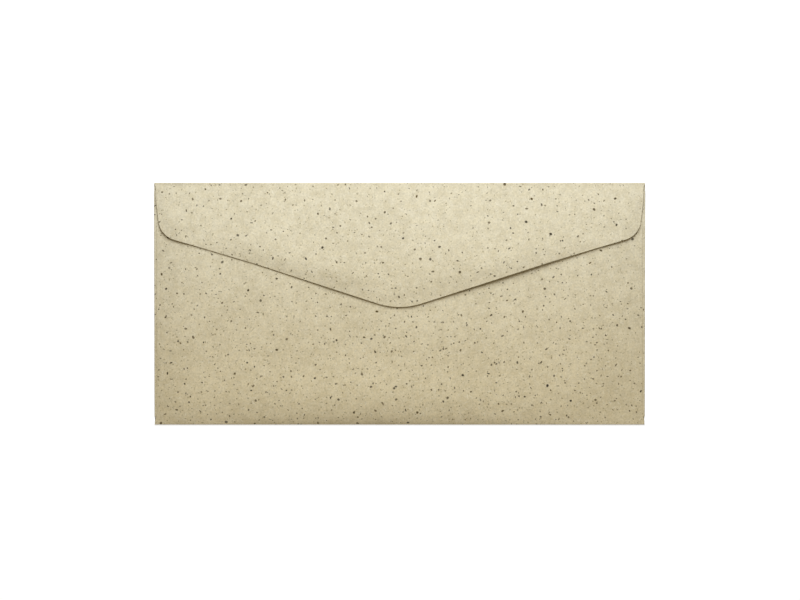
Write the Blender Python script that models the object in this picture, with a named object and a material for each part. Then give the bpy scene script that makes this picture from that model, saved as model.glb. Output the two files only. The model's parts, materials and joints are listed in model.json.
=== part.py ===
"""A wallet envelope in speckled recycled paper, closed and lying on its address side.

The envelope is one sheet of paper, cut and creased. Two side flaps fold in over the front panel,
the back panel folds up over them and is glued to them, and a pointed seal flap folds down over
the mouth, with a band of dried gum on its inner face. Every panel, every crease and every
line of glue is its own object.

Metres, +Z up. The origin is the centre of the front panel's outer face. +X runs along the long
side, and +Y points to the crease that the seal flap turns on.
"""

import math

import bmesh
import bpy
from mathutils import Vector

# Overall size, over the outsides of the creases
WIDTH = 0.220
HEIGHT = 0.110

# The paper and the spaces between its layers
PAPER = 0.00018
POCKET_GAP = 0.0008
LAYER_GAP = 0.0003
CREASE_GAP = 0.0003

# The back panel, with its mouth edge sloping down to both sides
BACK_SIDE_INSET = 0.0012
THROAT_DEPTH = 0.014
MOUTH_SLOPE_RUN = 0.018
MOUTH_SLOPE_DROP = 0.004
MOUTH_CORNER_RADIUS = 0.010

# The side flaps, cut back at a slant at both ends
SIDE_FLAP_WIDTH = 0.020
SIDE_FLAP_TOP_CLEARANCE = 0.0025
SIDE_FLAP_BOTTOM_CLEARANCE = 0.0025
SIDE_FLAP_TOP_SLANT = 0.009
SIDE_FLAP_BOTTOM_SLANT = 0.006
SIDE_FLAP_CORNER_RADIUS = 0.003

# The seal flap: depths are measured down from the top crease
FLAP_POINT_DEPTH = 0.0579
FLAP_ROOT_INSET = 0.0004
FLAP_SIDE_INSET = 0.0027
FLAP_CORNER_DEPTH = 0.0238
FLAP_CORNER_RADIUS = 0.0096
FLAP_SHOULDER_RUN = 0.045
FLAP_SHOULDER_DEPTH = 0.0366
FLAP_SHOULDER_RADIUS = 0.300
FLAP_TIP_RADIUS = 0.032

# The band of gum that follows the seal flap's slanting edges
GUM_THICKNESS = 0.0001
GUM_EDGE_MARGIN = 0.003
GUM_WIDTH = 0.012
GUM_SIDE_MARGIN = 0.014
GUM_END_RADIUS = 0.002

# The glue in the side seams
GLUE_THICKNESS = 0.0001
GLUE_WIDTH = 0.008
GLUE_SIDE_MARGIN = 0.005
GLUE_END_MARGIN = 0.006
GLUE_END_RADIUS = 0.0035

# Facets
ARC_STEPS = 10
BEND_STEPS = 12

# Heights of the layers' lower faces
SIDE_FLAP_Z = PAPER + POCKET_GAP
BACK_Z = SIDE_FLAP_Z + PAPER + LAYER_GAP
FLAP_Z = BACK_Z + PAPER + LAYER_GAP

# Outer radii of the creases: each bends half round, from the front panel up to a layer above it
SIDE_BEND_RADIUS = (SIDE_FLAP_Z + PAPER) / 2
BOTTOM_BEND_RADIUS = (BACK_Z + PAPER) / 2
TOP_BEND_RADIUS = (FLAP_Z + PAPER) / 2

# Edges of the flat panels, which stop just short of the creases
SIDE_X = WIDTH / 2
CREST_Y = HEIGHT / 2
PANEL_SIDE_X = SIDE_X - SIDE_BEND_RADIUS - CREASE_GAP
PANEL_TOP_Y = CREST_Y - TOP_BEND_RADIUS - CREASE_GAP
PANEL_BOTTOM_Y = -CREST_Y + BOTTOM_BEND_RADIUS + CREASE_GAP
BACK_SIDE_X = SIDE_X - BACK_SIDE_INSET
TOP_CREASE_X = SIDE_X - FLAP_ROOT_INSET
SIDE_FLAP_TOP_Y = PANEL_TOP_Y - SIDE_FLAP_TOP_CLEARANCE
SIDE_FLAP_BOTTOM_Y = PANEL_BOTTOM_Y + SIDE_FLAP_BOTTOM_CLEARANCE
SIDE_FLAP_INNER_X = SIDE_X - SIDE_FLAP_WIDTH

PAPER_COLOUR = (0.66, 0.59, 0.41)
GUM_COLOUR = (0.72, 0.66, 0.50)
GLUE_COLOUR = (0.78, 0.75, 0.66)


def clear_scene():
    for obj in list(bpy.data.objects):
        bpy.data.objects.remove(obj, do_unlink=True)


def make_material(name, colour, roughness):
    """A plain, non-metallic finish."""
    material = bpy.data.materials.new(name)
    material.use_nodes = True
    shader = material.node_tree.nodes["Principled BSDF"]
    shader.inputs["Base Color"].default_value = (*colour, 1.0)
    shader.inputs["Roughness"].default_value = roughness
    shader.inputs["Metallic"].default_value = 0.0
    return material


def paper_material():
    return make_material("recycled_paper", PAPER_COLOUR, 0.9)


def gum_material():
    return make_material("dried_gum", GUM_COLOUR, 0.35)


def glue_material():
    return make_material("seam_glue", GLUE_COLOUR, 0.5)


def arc_points(centre, start, turn, steps):
    """Points along an arc: the vector from centre to start, turned a little more each step."""
    points = []
    for step in range(steps + 1):
        angle = turn * step / steps
        x = start.x * math.cos(angle) - start.y * math.sin(angle)
        y = start.x * math.sin(angle) + start.y * math.cos(angle)
        points.append(centre + Vector((x, y)))
    return points


def round_corner(before, corner, after, radius):
    """The arc of this radius that touches both edges of a corner."""
    to_before = (before - corner).normalized()
    to_after = (after - corner).normalized()
    half_angle = to_before.angle(to_after) / 2
    reach = radius / math.tan(half_angle)
    centre = corner + (to_before + to_after).normalized() * radius / math.sin(half_angle)
    start = corner + to_before * reach - centre
    end = corner + to_after * reach - centre
    turn = math.atan2(start.x * end.y - start.y * end.x, start.dot(end))
    return arc_points(centre, start, turn, ARC_STEPS)


def rounded_outline(corners):
    """A closed outline through corners of (x, y, radius), with an arc at each that has a radius."""
    places = [Vector((x, y)) for x, y, _ in corners]
    outline = []
    for index, (_, _, radius) in enumerate(corners):
        corner = places[index]
        if radius == 0:
            outline.append(corner)
            continue
        after = places[(index + 1) % len(places)]
        outline.extend(round_corner(places[index - 1], corner, after, radius))
    return outline


def mirrored(corners):
    """The same corners on the other side of the Y axis, in the order that keeps the turn."""
    return [(-x, y, radius) for x, y, radius in reversed(corners)]


def extruded(name, outline, depth, material):
    """An object whose mesh is the outline in the XY plane, carried up by depth along Z."""
    shape = bmesh.new()
    vertices = [shape.verts.new((point.x, point.y, 0.0)) for point in outline]
    base = shape.faces.new(vertices)
    result = bmesh.ops.extrude_face_region(shape, geom=[base])
    raised = [item for item in result["geom"] if isinstance(item, bmesh.types.BMVert)]
    bmesh.ops.translate(shape, verts=raised, vec=(0.0, 0.0, depth))
    bmesh.ops.recalc_face_normals(shape, faces=shape.faces)
    mesh = bpy.data.meshes.new(name)
    shape.to_mesh(mesh)
    shape.free()
    mesh.materials.append(material)
    obj = bpy.data.objects.new(name, mesh)
    bpy.context.scene.collection.objects.link(obj)
    return obj


def bend_section(radius, start_degrees, end_degrees):
    """The section of a strip of paper bent to an outer radius: one arc out, and one back inside."""
    start = math.radians(start_degrees)
    turn = math.radians(end_degrees) - start
    centre = Vector((0.0, 0.0))
    direction = Vector((math.cos(start), math.sin(start)))
    outer = arc_points(centre, direction * radius, turn, BEND_STEPS)
    inner = arc_points(centre, direction * (radius - PAPER), turn, BEND_STEPS)
    return outer + inner[::-1]


def crease_along_x(name, section, length, y, z, material):
    """A bent strip along X: its section lies in the YZ plane, centred on (y, z)."""
    obj = extruded(name, section, length, material)
    obj.rotation_euler = (math.pi / 2, 0.0, math.pi / 2)
    obj.location = (-length / 2, y, z)
    return obj


def crease_along_y(name, section, bottom_y, top_y, x, z, material):
    """A bent strip along Y: its section lies in the XZ plane, centred on (x, z)."""
    obj = extruded(name, section, top_y - bottom_y, material)
    obj.rotation_euler = (math.pi / 2, 0.0, 0.0)
    obj.location = (x, top_y, z)
    return obj


def hang_on(obj, parent):
    """Parents an object that is already placed in the world, and keeps its place."""
    obj.location = Vector(obj.location) - parent.location
    obj.parent = parent


def make_front_panel(paper):
    """The address side, whose top corners reach out past the side creases to the top crease's ends."""
    corner_y = SIDE_FLAP_TOP_Y + CREASE_GAP
    right = [
        (PANEL_SIDE_X, PANEL_BOTTOM_Y, 0),
        (PANEL_SIDE_X, corner_y, 0),
        (TOP_CREASE_X, corner_y, 0),
        (TOP_CREASE_X, PANEL_TOP_Y, 0),
    ]
    return extruded("front_panel", rounded_outline(right + mirrored(right)), PAPER, paper)


def make_back_panel(paper):
    """The lower panel folded up, whose top edge is the mouth of the pocket."""
    mouth_y = CREST_Y - THROAT_DEPTH
    right = [
        (BACK_SIDE_X, PANEL_BOTTOM_Y, 0),
        (BACK_SIDE_X, mouth_y - MOUTH_SLOPE_DROP, 0),
        (BACK_SIDE_X - MOUTH_SLOPE_RUN, mouth_y, MOUTH_CORNER_RADIUS),
    ]
    outline = rounded_outline(right + mirrored(right))
    obj = extruded("back_panel", outline, PAPER, paper)
    obj.location.z = BACK_Z
    return obj


def side_flap_corners():
    """The right side flap: full length along its crease, cut back at a slant further in."""
    return [
        (SIDE_FLAP_INNER_X, SIDE_FLAP_BOTTOM_Y + SIDE_FLAP_BOTTOM_SLANT, SIDE_FLAP_CORNER_RADIUS),
        (PANEL_SIDE_X, SIDE_FLAP_BOTTOM_Y, 0),
        (PANEL_SIDE_X, SIDE_FLAP_TOP_Y, 0),
        (SIDE_FLAP_INNER_X, SIDE_FLAP_TOP_Y - SIDE_FLAP_TOP_SLANT, SIDE_FLAP_CORNER_RADIUS),
    ]


def make_side_flap(side, paper):
    corners = side_flap_corners()
    if side == "left":
        corners = mirrored(corners)
    obj = extruded(f"{side}_side_flap", rounded_outline(corners), PAPER, paper)
    obj.location.z = SIDE_FLAP_Z
    return obj


def make_seam_glue(side, glue):
    """The strip of glue between a side flap and the back panel, in the middle of their gap."""
    outer_x = SIDE_X - GLUE_SIDE_MARGIN
    bottom_y = SIDE_FLAP_BOTTOM_Y + SIDE_FLAP_BOTTOM_SLANT + GLUE_END_MARGIN
    highest = SIDE_FLAP_TOP_Y - SIDE_FLAP_TOP_SLANT
    mouth_side_y = CREST_Y - THROAT_DEPTH - MOUTH_SLOPE_DROP
    top_y = min(highest, mouth_side_y) - GLUE_END_MARGIN
    corners = [
        (outer_x - GLUE_WIDTH, bottom_y, GLUE_END_RADIUS),
        (outer_x, bottom_y, GLUE_END_RADIUS),
        (outer_x, top_y, GLUE_END_RADIUS),
        (outer_x - GLUE_WIDTH, top_y, GLUE_END_RADIUS),
    ]
    if side == "left":
        corners = mirrored(corners)
    obj = extruded(f"{side}_seam_glue", rounded_outline(corners), GLUE_THICKNESS, glue)
    obj.location.z = BACK_Z - (LAYER_GAP + GLUE_THICKNESS) / 2
    return obj


def make_bottom_fold(paper):
    """The half-round crease from the front panel up to the back panel."""
    section = bend_section(BOTTOM_BEND_RADIUS, 90, 270)
    y = -CREST_Y + BOTTOM_BEND_RADIUS
    return crease_along_x("bottom_fold", section, 2 * BACK_SIDE_X, y, BOTTOM_BEND_RADIUS, paper)


def make_side_fold(side, paper):
    """The half-round crease from the front panel up to a side flap."""
    sign, start = (-1, 90) if side == "left" else (1, -90)
    return crease_along_y(
        f"{side}_side_fold",
        bend_section(SIDE_BEND_RADIUS, start, start + 180),
        SIDE_FLAP_BOTTOM_Y,
        SIDE_FLAP_TOP_Y,
        sign * (SIDE_X - SIDE_BEND_RADIUS),
        SIDE_BEND_RADIUS,
        paper,
    )


def top_crease_half(name, start_degrees, end_degrees, paper):
    """Part of the top crease, which bends from the front panel round to the seal flap."""
    section = bend_section(TOP_BEND_RADIUS, start_degrees, end_degrees)
    y = CREST_Y - TOP_BEND_RADIUS
    return crease_along_x(name, section, 2 * TOP_CREASE_X, y, TOP_BEND_RADIUS, paper)


def make_top_fold(paper):
    """The lower half of the top crease, up to its outermost line, which the flap turns on."""
    return top_crease_half("top_fold", -90, 0, paper)


def make_flap_fold(paper):
    """The upper half of the top crease, which starts a crease gap above the line it turns on."""
    start = math.degrees(math.asin(CREASE_GAP / TOP_BEND_RADIUS))
    return top_crease_half("flap_fold", start, 90, paper)


def flap_edge():
    """The seal flap's lower edge as straight lines, from the left side to the right."""
    corner = Vector((SIDE_X - FLAP_SIDE_INSET, CREST_Y - FLAP_CORNER_DEPTH))
    shoulder = Vector((SIDE_X - FLAP_SHOULDER_RUN, CREST_Y - FLAP_SHOULDER_DEPTH))
    tip = Vector((0.0, CREST_Y - FLAP_POINT_DEPTH))
    left = [Vector((-corner.x, corner.y)), Vector((-shoulder.x, shoulder.y))]
    return left + [tip, shoulder, corner]


def make_seal_flap(paper):
    """A pointed flap with rounded corners, softly turned shoulders and a rounded tip."""
    radii = [
        FLAP_CORNER_RADIUS,
        FLAP_SHOULDER_RADIUS,
        FLAP_TIP_RADIUS,
        FLAP_SHOULDER_RADIUS,
        FLAP_CORNER_RADIUS,
    ]
    edge = [(point.x, point.y, radius) for point, radius in zip(flap_edge(), radii)]
    corners = edge + [(TOP_CREASE_X, PANEL_TOP_Y, 0), (-TOP_CREASE_X, PANEL_TOP_Y, 0)]
    obj = extruded("seal_flap", rounded_outline(corners), PAPER, paper)
    obj.location.z = FLAP_Z
    return obj


def inset_edge(distance):
    """The flap's lower edge moved inwards: each line by the distance, met again at the corners."""
    edge = flap_edge()
    normals = []
    for start, end in zip(edge, edge[1:]):
        along = (end - start).normalized()
        normals.append(Vector((-along.y, along.x)))
    moved = [edge[0] + normals[0] * distance]
    for point, before, after in zip(edge[1:], normals, normals[1:]):
        moved.append(point + (before + after) * distance / (1 + before.dot(after)))
    moved.append(edge[-1] + normals[-1] * distance)
    return moved


def height_at(line, x):
    """The height of a line of points, in order of x, at x."""
    for start, end in zip(line, line[1:]):
        if start.x <= x <= end.x:
            return start.y + (end.y - start.y) * (x - start.x) / (end.x - start.x)
    return line[-1].y


def make_seal_gum(gum):
    """A band of even width inside the flap's slanting edges, stopping short of its corners."""
    end_x = SIDE_X - GUM_SIDE_MARGIN
    outer = inset_edge(GUM_EDGE_MARGIN)
    inner = inset_edge(GUM_EDGE_MARGIN + GUM_WIDTH)
    outer_tip_radius = FLAP_TIP_RADIUS - GUM_EDGE_MARGIN
    inner_tip_radius = outer_tip_radius - GUM_WIDTH
    right = [
        (0.0, outer[2].y, outer_tip_radius),
        (outer[3].x, outer[3].y, 0),
        (end_x, height_at(outer, end_x), GUM_END_RADIUS),
        (end_x, height_at(inner, end_x), GUM_END_RADIUS),
        (inner[3].x, inner[3].y, 0),
    ]
    left = mirrored(right[1:])
    outline = rounded_outline(right + [(0.0, inner[2].y, inner_tip_radius)] + left)
    obj = extruded("seal_gum", outline, GUM_THICKNESS, gum)
    obj.location.z = FLAP_Z - (LAYER_GAP + GUM_THICKNESS) / 2
    return obj


def make_flap_axis():
    """An empty on the outermost line of the top crease, which the seal flap turns on."""
    axis = bpy.data.objects.new("flap_axis", None)
    axis.location = (0.0, CREST_Y, TOP_BEND_RADIUS)
    bpy.context.scene.collection.objects.link(axis)
    return axis


def build_envelope():
    clear_scene()
    paper = paper_material()
    gum = gum_material()
    glue = glue_material()

    make_front_panel(paper)
    make_back_panel(paper)
    make_bottom_fold(paper)
    make_top_fold(paper)
    for side in ("left", "right"):
        make_side_flap(side, paper)
        make_side_fold(side, paper)
        make_seam_glue(side, glue)

    flap_axis = make_flap_axis()
    for piece in (make_seal_flap(paper), make_flap_fold(paper), make_seal_gum(gum)):
        hang_on(piece, flap_axis)


build_envelope()
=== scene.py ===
"""A wallet envelope in speckled recycled paper: its paper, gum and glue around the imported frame.

Every piece of paper is a surface worked out on a grid: an outline in the plane of the envelope with
a height at each of its points, or a bent strip where the paper turns over a crease. Its two
faces lie half the paper's thickness off that surface. Each point also has its place on
the sheet before it was folded, which the paper's finish reads, so that fibres and grains run on
over the creases and differ from layer to layer. Lengths are in metres.
"""

import json
import math

import bpy
import numpy as np
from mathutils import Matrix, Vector


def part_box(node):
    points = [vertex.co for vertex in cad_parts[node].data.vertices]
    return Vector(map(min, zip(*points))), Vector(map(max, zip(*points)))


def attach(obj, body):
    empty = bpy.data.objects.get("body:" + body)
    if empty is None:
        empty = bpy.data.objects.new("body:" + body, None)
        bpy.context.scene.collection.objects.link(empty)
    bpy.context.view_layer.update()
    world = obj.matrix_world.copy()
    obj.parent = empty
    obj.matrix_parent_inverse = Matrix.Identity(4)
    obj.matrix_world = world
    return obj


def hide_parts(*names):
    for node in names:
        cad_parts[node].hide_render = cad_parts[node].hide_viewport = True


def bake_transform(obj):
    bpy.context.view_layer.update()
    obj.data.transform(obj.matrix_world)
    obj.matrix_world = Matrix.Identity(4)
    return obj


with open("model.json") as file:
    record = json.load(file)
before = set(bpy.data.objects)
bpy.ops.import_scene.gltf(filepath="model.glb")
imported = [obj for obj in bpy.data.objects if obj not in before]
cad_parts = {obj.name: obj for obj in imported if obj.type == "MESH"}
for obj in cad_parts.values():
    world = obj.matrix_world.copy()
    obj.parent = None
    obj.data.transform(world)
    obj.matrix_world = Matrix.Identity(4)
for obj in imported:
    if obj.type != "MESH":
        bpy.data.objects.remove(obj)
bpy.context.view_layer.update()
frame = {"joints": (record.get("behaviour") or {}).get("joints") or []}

MM = 0.001

# From the frame: the outline, the paper's thickness and the line that the seal flap turns on
SIDE_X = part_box("right_side_fold")[1].x
CREST_Y = frame["joints"][0]["pos_m"][1]
CREST_Z = frame["joints"][0]["pos_m"][2]
FLAP_TOP_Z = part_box("seal_flap")[1].z
PAPER = FLAP_TOP_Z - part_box("seal_flap")[0].z
BACK_SIDE_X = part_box("back_panel")[1].x
MOUTH_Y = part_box("back_panel")[1].y
SIDE_FLAP_INNER_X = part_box("right_side_flap")[0].x
SIDE_FLAP_TOP_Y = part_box("right_side_flap")[1].y
SIDE_FLAP_BOTTOM_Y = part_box("right_side_flap")[0].y
GLUE_LOWEST, GLUE_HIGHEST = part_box("right_seam_glue")
GUM_END_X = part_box("seal_gum")[1].x

# Outlines, as the paper is cut. Each side point of the flap is an inset and a depth below the crest
MOUTH_SLOPE_RUN = 18 * MM
MOUTH_SLOPE_DROP = 4 * MM
MOUTH_CORNER_RADIUS = 10 * MM
SIDE_FLAP_TOP_SLANT = 9 * MM
SIDE_FLAP_BOTTOM_SLANT = 6 * MM
FLAP_POINT_DEPTH = 57.9 * MM
FLAP_SIDE_INSET = 2.7 * MM
FLAP_CORNER_DEPTH = 23.8 * MM
FLAP_CORNER_RADIUS = 9.6 * MM
FLAP_SIDE_POINTS = ((0.75 * MM, 2 * MM), (1.0 * MM, 9 * MM))
FLAP_SHOULDER_RUN = 45 * MM
FLAP_SHOULDER_DEPTH = 36.6 * MM
FLAP_SHOULDER_RADIUS = 300 * MM
FLAP_TIP_RADIUS = 32 * MM
GUM_EDGE_MARGIN = 3 * MM
GUM_WIDTH = 12 * MM
GUM_END_RADIUS = 5 * MM

# The gum and the glue: how far their edges waver, how far apart their two edges read the waves,
# how thick they are, how much of that they lose at their edges, what is left of their width at
# their ends, and how far the gum's middle stands off the paper, as a share of half its thickness
EDGE_WAVER = 0.22 * MM
WAVER_APART_X = 0.4
WAVER_APART_Y = 0.1
GUM_THICKNESS = 0.05 * MM
GLUE_THICKNESS = 0.03 * MM
GUM_THINNING = 0.9
GLUE_THINNING = 0.8
END_SHARE = 0.02
GUM_STAND_OFF = 0.8

# Where the creases end, nearer the corners than the frame's, and how the sides run out to there
TOP_END_X = SIDE_X - 0.1 * MM
FOOT_END_X = SIDE_X - 0.1 * MM
FOOT_FLARE = 5 * MM
SIDE_STEP_DOWN = 0.5 * MM

# Heights of the middle of the paper: pressed thin at the creases, and fuller inside
FRONT_MID = PAPER / 2
FRONT_LIFT = 0.03 * MM
FRONT_LIFT_REACH = 20 * MM
RIM_MID = 0.46 * MM
SEAM_STEP = PAPER + 0.04 * MM
BACK_RISE = 0.40 * MM
BACK_DIP = 0.45 * MM
DIP_X = 54 * MM
DIP_Y = 12 * MM
DIP_SPREAD = 30 * MM
SIDE_RISE_REACH = 12 * MM
BOTTOM_RISE_REACH = 18 * MM
SIDE_RISE_POWER = 2.5
BOTTOM_RISE_POWER = 3
SLOW_WAVE = 0.08 * MM
COCKLE = 0.016 * MM
PUCKER = 0.012 * MM
PUCKER_SPREAD = 6 * MM
PUCKER_ACROSS = 0.3

# Waves in the paper, gum and glue: the longest, the shortest, how many are added up, and the seed
BACK_WAVES = (90 * MM, 40 * MM, 5, 11)
BACK_COCKLES = (16 * MM, 7 * MM, 12, 12)
SEAM_PUCKERS = (7 * MM, 3 * MM, 8, 13)
FLAP_WAVES = (80 * MM, 35 * MM, 5, 21)
FLAP_COCKLES = (16 * MM, 7 * MM, 12, 22)
CREST_WAVES = (60 * MM, 15 * MM, 6, 23)
FRONT_WAVES = (80 * MM, 35 * MM, 5, 31)
GUM_WAVES = (12 * MM, 3 * MM, 9, 41)
GLUE_WAVES = (12 * MM, 3 * MM, 9, 42)

# The swell along the foot of the pocket, how soon it rolls over to the crease, and its flatter end
FOOT_RISE = 0.96 * MM
FOOT_X = -12 * MM
FOOT_SPREAD_X = 74 * MM
FOOT_Y = 10 * MM
FOOT_SPREAD_Y = 13 * MM
FOOT_ROLL = 2.0 * MM
FLAT_FOOT_X = 102 * MM
FLAT_FOOT_SPREAD = 25 * MM
FLAT_FOOT_SHARE = 1.55

# The seal flap: full in the middle, lower at its tip, curling down to its gummed edge. Each pillow
# is a place along X, a spread and a height
FLAP_MID = FLAP_TOP_Z - PAPER / 2
FLAP_FULL = 2.28 * MM
FLAP_FULL_X = 65 * MM
FLAP_FULL_FADE = 35 * MM
FLAP_TIP_LOWER = 0.35 * MM
FLAP_TIP_SPREAD = 24 * MM
FLAP_SETTLE_REACH = 44 * MM
FLAP_SETTLE_AT_SIDE = 20 * MM
FLAP_SHORTER_X = 85 * MM
FLAP_SHORTER_FADE = 20 * MM
FLAP_FREE_REACH = 9 * MM
FLAP_CURL_REACH = 9 * MM
FLAP_SIDE_REACH = 8 * MM
PILLOWS = ((50 * MM, 26 * MM, 0.40 * MM), (-14 * MM, 30 * MM, 0.30 * MM))
PILLOW_IN = 8 * MM
PILLOW_SPREAD = 9 * MM
FLAP_EDGE_SLANT = math.radians(18)

# The air under the seal flap's edge, and its swells: each a place along X, a spread and a height
FLAP_GAP = 0.30 * MM
SIDE_GAP_SHARE = 0.15
SIDE_GAP_DOWN = 9 * MM
SIDE_GAP_FADE = 13 * MM
GAP_SWELLS = (
    (54 * MM, 33 * MM, 1.02 * MM),
    (6 * MM, 20 * MM, 0.12 * MM),
    (-26 * MM, 22 * MM, 0.30 * MM),
    (-86 * MM, 16 * MM, 0.08 * MM),
)
CORNER_SWELLS = ((-101 * MM, 9 * MM, 0.42 * MM), (100 * MM, 10 * MM, 0.36 * MM))
CORNER_SWELL_DOWN = 24 * MM
CORNER_SWELL_SPREAD = 8 * MM

# How the paper sinks in a shallow line just below the crest, deeper in one dent
CREST_SINK = 0.025 * MM
CREST_SINK_AT = 1.2 * MM
CREST_SINK_SHARE = 1.2
DENT_X = -98 * MM
DENT_SPREAD = 14 * MM
DENT_SHARE = 2.5

# Half the height of the middle of the paper at each crease, the top crease's reach, and where
# each crease begins to bend
BOTTOM_BEND = (RIM_MID + SEAM_STEP - FRONT_MID) / 2
SIDE_BEND = (RIM_MID - FRONT_MID) / 2
TOP_BEND = 0.16 * MM
TOP_REACH = 0.12 * MM
BOTTOM_BEND_Y = -CREST_Y + BOTTOM_BEND + PAPER / 2
SIDE_BEND_X = SIDE_X - SIDE_BEND - PAPER / 2
TOP_BEND_Y = CREST_Y - TOP_REACH - PAPER / 2

# How the pocket's top end curls up to the crest, which the hinge holds clear of the table
CURL = CREST_Z - TOP_BEND - FRONT_MID
CURL_REACH = 16 * MM

# Places on the unfolded sheet, down from the seal flap: where each panel begins
FRONT_PLACE = 2 * TOP_BEND + TOP_REACH
BACK_PLACE = FRONT_PLACE + TOP_BEND_Y - BOTTOM_BEND_Y + math.pi * BOTTOM_BEND
SIDE_PLACE = SIDE_BEND_X + math.pi * SIDE_BEND

# Grid: the rows of the back panel and the seal flap lie closer together at both ends
GRID_STEP = 1.0 * MM
COLUMNS = 2 * round(SIDE_X / GRID_STEP) + 1
ROW_STEP = 0.75 * MM
ROW_CLOSING = 0.7
ARC_STEPS = 24
CREASE_ROWS = 21
GLUE_COLUMNS = 9
SLOPE_STEP = 0.05 * MM
EDGE_ANGLE = math.radians(50)

# One UV unit is this long on the paper, and the inner face reads the pattern this many units
# further down, which is a whole number of the tone's waves
UV_UNIT = 100 * MM
INNER_SHIFT = 11.0

# In millimetres on the sheet: the wave in which painted light, cooler at the crest, turns to painted
# shade, darker and warmer at the foot, and back, while the grains crowd in with it, and between which
# distances from the middle painted shade darkens the sides
SHADE_AND_CROWD_WAVE = 220
SIDE_SHADE_FROM = 84
SIDE_SHADE_TO = 108

# How far one seed moves a pattern, and what makes one random number into another
NOISE_SHIFT = (37.7, 91.3)
SCATTER_SHIFT = (53.1, 29.9)
REMIX = 57.3

# Sizes of the paper's patterns, in millimetres. Each cloud is a size, a share, a seed and a detail
CLOUDS = ((20, 0.26, 1, 3), (4, 0.45, 2, 3), (1.1, 0.29, 16, 2))
CLOUD_RAMP = (0.35, 0.65)
# Size of the patches of painted shade towards the sides
SIDE_SHADE_SIZE = 7
WARMTH_SIZE = 2.4
FINE_GRAIN_SIZE = 0.8
RUBBED_SIZE = 0.5
FELT_SIZE = 0.35
SHAKE_SIZE = 0.26
SHAKE = 0.38

# Lines, each its start and its rise to 1: how the fine grain shades the pulp, a grain's size, how
# slim it is, how crowded the grains are and how far they cover the pulp, and the paper's roughness
FINE_SHADE = (0.755, 0.49)
GRAIN_SIZE = (0.5, 0.9)
GRAIN_SLIM = (0.38, 0.85)
CROWD = (0.63, 0.62)
FAINT_SHARE = (0.47, 0.12)
FAINT_COVER = (0.14, 0.40)
SMALL_COVER = (0.56, 0.42)
LARGE_COVER = (0.75, 0.25)
PAPER_ROUGHNESS = (0.96, -0.12)

# Shares: of small and large grains in the crowd, of fibres over the pulp, of the paler colour on cut
# edges and folds, and of each pattern in the surface's height. Then how soon a fold's wear falls off
SMALL_OF_CROWD = 0.66
LARGE_OF_CROWD = 0.62
FIBRE_COVER = 0.6
CUT_EDGE_COVER = 0.6
RUBBED_COVER = 0.2
RUBBED_RAMP = (0.45, 0.75)
FINE_GRAIN_RELIEF = 0.35
FELT_RELIEF = 0.45
STRAW_RELIEF = 0.12
DARK_RELIEF = 0.1
WEAR_FALL = 2.2

# How far the bump of the paper and the gum stands up, and that of the glue
PAPER_BUMP = 0.03 * MM
GLUE_BUMP = 0.02 * MM

# The camera, on the top edge's side of the vertical, and the middle of its picture on the envelope
CAMERA_DISTANCE = 7.6
CAMERA_TILT = math.radians(9.3)
PICTURE_WIDTH = 0.35866
SENSOR_WIDTH = 36.0
NEAREST_SEEN = 0.1
FARTHEST_SEEN = 100.0
PICTURE_MIDDLE = Vector((0.155 * MM, 1.6 * MM, 0.0))

# Light: a near lamp, hardly cooler than white, and a warmer sky
LAMP_PLACE = Vector((0.012, 0.375, 0.26))
LAMP_AIM = Vector((0.0, 0.0, 0.0))
LAMP_SIZE = 0.32
LAMP_POWER = 3.11
LAMP_COLOUR = (0.92, 1.0, 1.13)
SKY_STRENGTH = 0.26
SKY_COLOUR = (1.0, 0.88, 0.64)
FLOOR_SIZE = 60.0
FLOOR_DEPTH = 0.01 * MM
FLOOR_GLOW = 0.75
FLOOR_COLOUR = 0.5

# Colours, as the paper, gum and glue reflect light
PALE_PULP = (0.684, 0.587, 0.394)
DEEP_PULP = (0.590, 0.499, 0.322)
COOL_TINT = (0.994, 1.0, 1.014)
WARM_TINT = (1.006, 1.0, 0.98)
# Painted light, a little cooler, at the crest and painted shade, darker and warmer, at the foot
CREST_PAINTED_LIGHT = (1.0, 1.022, 1.055)
FOOT_PAINTED_SHADE = (1.0, 0.973, 0.90)
# Painted shade towards the sides of the sheet
PAINTED_SIDE_SHADE = 0.08
PEAT = (0.19, 0.13, 0.032)
BARK = (0.100, 0.064, 0.016)
CHARCOAL = (0.026, 0.019, 0.009)
STRAW = (0.78, 0.71, 0.54)
CUT_PULP = (0.72, 0.66, 0.49)
GUM_TINT = (0.90, 0.87, 0.78)
GLUE_PALE = (0.80, 0.77, 0.68)
GLUE_DEEP = (0.66, 0.61, 0.49)


def smooth(t):
    """Three t squared minus two t cubed, held between 0 and 1."""
    t = np.clip(t, 0, 1)
    return t * t * (3 - 2 * t)


def lift(distance, reach, power):
    """1 minus a power of what is left of the reach: steep at the edge, level at the reach."""
    return 1 - (1 - np.minimum(distance / reach, 1)) ** power


def hump(distance, spread):
    """A bell curve of the distance, 1 at nought."""
    return np.exp(-((distance / spread) ** 2))


def on_line(line, value):
    """The line's start plus its rise times the value, which is a number or a Socket."""
    start, rise = line
    return start + value * rise


def waves(x, y, longest, shortest, count, seed):
    """A sum of sine waves in random directions, each as high as its length, scaled to about 1."""
    random = np.random.RandomState(seed)
    total = np.zeros(np.broadcast(x, y).shape)
    for _ in range(count):
        length = random.uniform(shortest, longest)
        bearing, phase = random.uniform(0, 2 * math.pi, 2)
        along = x * math.cos(bearing) + y * math.sin(bearing)
        total = total + length / longest * np.sin(2 * math.pi * along / length + phase)
    return total / math.sqrt(count)


def curl(y):
    """How far the pocket's top end has curled up: the square of the way into the reach of the crest."""
    return CURL * np.clip(1 - (TOP_BEND_Y - y) / CURL_REACH, 0, 1) ** 2


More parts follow.
